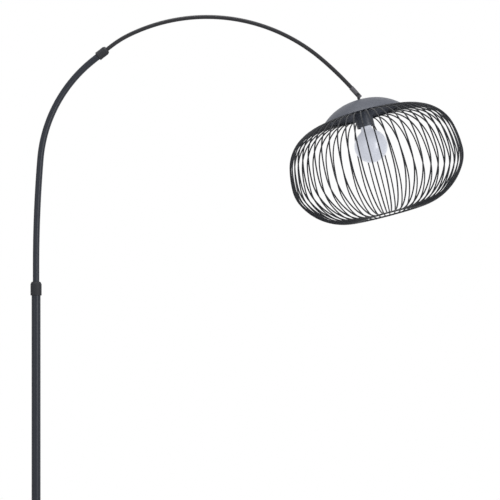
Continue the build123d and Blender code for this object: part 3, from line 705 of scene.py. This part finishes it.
def stood(points, turn):
    """Points from the shade's upright frame to the lamp: turned about its axis by an angle,
    then set on the ring's middle along the shade's side, the lamp's Y and the shade's axis."""
    c, s = math.cos(turn), math.sin(turn)
    sideways = c * points[..., 0] - s * points[..., 1]
    depth = s * points[..., 0] + c * points[..., 1]
    leaned = sideways[..., None] * shade_side + points[..., 2, None] * shade_up
    return ring_middle + leaned + depth[..., None] * np.array([0.0, 1.0, 0.0])


wire_step = 2 * math.pi / wire_count
wires_in_set = 7
for number in range(wire_count // wires_in_set):
    turns = wire_phase + wire_step * (number * wires_in_set + np.arange(wires_in_set))
    grids = [stood(one_wire, turn) for turn in turns]
    wires = skin(f"coated_wires_{number + 1}", grids, joined=False)
    fit(wires, "shade", "wire_coat", wire_coat, f"cage_wires_{number + 1}")

bottom_level = -upper_drop - lower_drop
for name, radius, level, thick in (
    ("cage_top_ring", top_radius, 0.0, 1.6 * mm),
    ("cage_bottom_ring", bottom_radius, bottom_level, 2 * mm),
):
    section = arc((level, radius), thick, 0, 360, 17)[:-1]
    ring = carried(name + "_wire", shade_axis, section, sides=3 * wire_count)
    fit(ring, "shade", "wire_coat", wire_coat, name)

# A resistance weld leaves a small swelling where each wire crosses a ring. It is drawn as a
# ball whose ends stop just short of a point.
bead_along = np.linspace(0, np.pi, 7)
bead_path = bent_path((0, 0, 0), 90)
bead_radius = 2.4 * mm
bead_tip = 0.02 * mm
for name, radius, level in (
    ("top_welds", top_radius, 0.0),
    ("bottom_welds", bottom_radius, bottom_level),
):
    outwards = radius - bead_radius * np.cos(bead_along)
    width = np.maximum(bead_radius * np.sin(bead_along), bead_tip)
    centre, forward = bead_path(outwards)
    bead = rings(centre + [0, 0, level], forward, width, sides=8)
    beads = [stood(bead, wire_phase + wire_step * i) for i in range(wire_count)]
    fit(skin(name, beads, joined=False), "shade", "wire_coat", wire_coat)


# ---- Studio --------------------------------------------------------------------------------
# A pale floor that melts into a white surround, two tall soft boxes in front, a broad one
# overhead, and the camera where the picture was taken from: low, level and to the shade's left.

floor_reach = 3.5
floor_middle = 0.4
fade_start, fade_end = 0.9, 2.4
floor_mesh = bpy.data.meshes.new("floor")
square = [(-1, -1), (1, -1), (1, 1), (-1, 1)]
corners = [(floor_middle + floor_reach * x, floor_reach * y, 0) for x, y in square]
floor_mesh.from_pydata(corners, [], [(0, 1, 2, 3)])
floor = bpy.data.objects.new("floor", floor_mesh)
bpy.context.scene.collection.objects.link(floor)
paper, tree, shader = finish_named(
    "white_paper", Roughness=0.9, Base_Color=linear("#f2f2f2"), Specular_IOR_Level=0.0
)
place = add(tree, "TexCoord").outputs["Object"]
centred = add(tree, "VectorMath", {1: (-floor_middle, 0, 0)}, {0: place}, operation="ADD")
away = add(tree, "VectorMath", links={0: centred.outputs["Vector"]}, operation="LENGTH")
fade = add(
    tree,
    "MapRange",
    {"From Min": fade_start, "From Max": fade_end},
    {"Value": away.outputs["Value"]},
    interpolation_type="SMOOTHSTEP",
)
glow = add(tree, "Emission", {"Color": (1, 1, 1, 1), "Strength": 1.0})
mixed = add(
    tree,
    "MixShader",
    links={0: fade.outputs["Result"], 1: shader.outputs["BSDF"], 2: glow.outputs["Emission"]},
)
tree.links.new(mixed.outputs["Shader"], tree.nodes["Material Output"].inputs["Surface"])
floor_mesh.materials.append(paper)

# The surround shines at full strength where it is seen, straight or in a mirror or a glass, and
# at the ambient strength where it lights the lamp.
ambient = 0.42
world = bpy.data.worlds.new("studio")
bpy.context.scene.world = world
world.use_nodes = True
tree = world.node_tree
seen = add(tree, "LightPath")
mirror = add(
    tree,
    "Math",
    links={0: seen.outputs["Is Glossy Ray"], 1: seen.outputs["Is Transmission Ray"]},
    operation="MAXIMUM",
)
shown = add(
    tree,
    "Math",
    links={0: seen.outputs["Is Camera Ray"], 1: mirror.outputs["Value"]},
    operation="MAXIMUM",
)
level = add(
    tree, "MapRange", {"To Min": ambient, "To Max": 1.0}, {"Value": shown.outputs["Value"]}
)
surround = tree.nodes["Background"]
surround.inputs["Color"].default_value = (1, 1, 1, 1)
tree.links.new(level.outputs["Result"], surround.inputs["Strength"])


def soft_box(name, place, aim, width, height, power):
    """Rectangular area lamp at a place, turned to face the aim point. Its width and height are
    in metres and its power in watts."""
    lamp = bpy.data.lights.new(name, "AREA")
    lamp.shape = "RECTANGLE"
    lamp.size, lamp.size_y, lamp.energy = width, height, power
    holder = bpy.data.objects.new(name, lamp)
    holder.location = place
    holder.rotation_euler = (Vector(aim) - Vector(place)).to_track_quat("-Z", "Y").to_euler()
    bpy.context.scene.collection.objects.link(holder)


middle = (0.45, 0, 1.2)
soft_box("right_box", (2.6, -2.6, 1.4), middle, 0.5, 2.4, 75)
soft_box("left_box", (-1.8, -2.8, 1.4), middle, 0.5, 2.2, 14)
soft_box("top_box", (0.3, -0.4, 3.4), middle, 1.6, 1.6, 45)

# The lens, its shift and the viewpoint were fitted to the collars, the tubes and the cage.
camera = bpy.data.cameras.new("camera")
camera.lens = 93.43
camera.shift_y = 0.12
camera.clip_end = 50
viewpoint = bpy.data.objects.new("camera", camera)
viewpoint.location = (0.5284, -3.205, 1.0211)
viewpoint.rotation_euler = (math.pi / 2, 0, 0)
bpy.context.scene.collection.objects.link(viewpoint)
bpy.context.scene.camera = viewpoint
bpy.context.scene.view_settings.view_transform = "Standard"
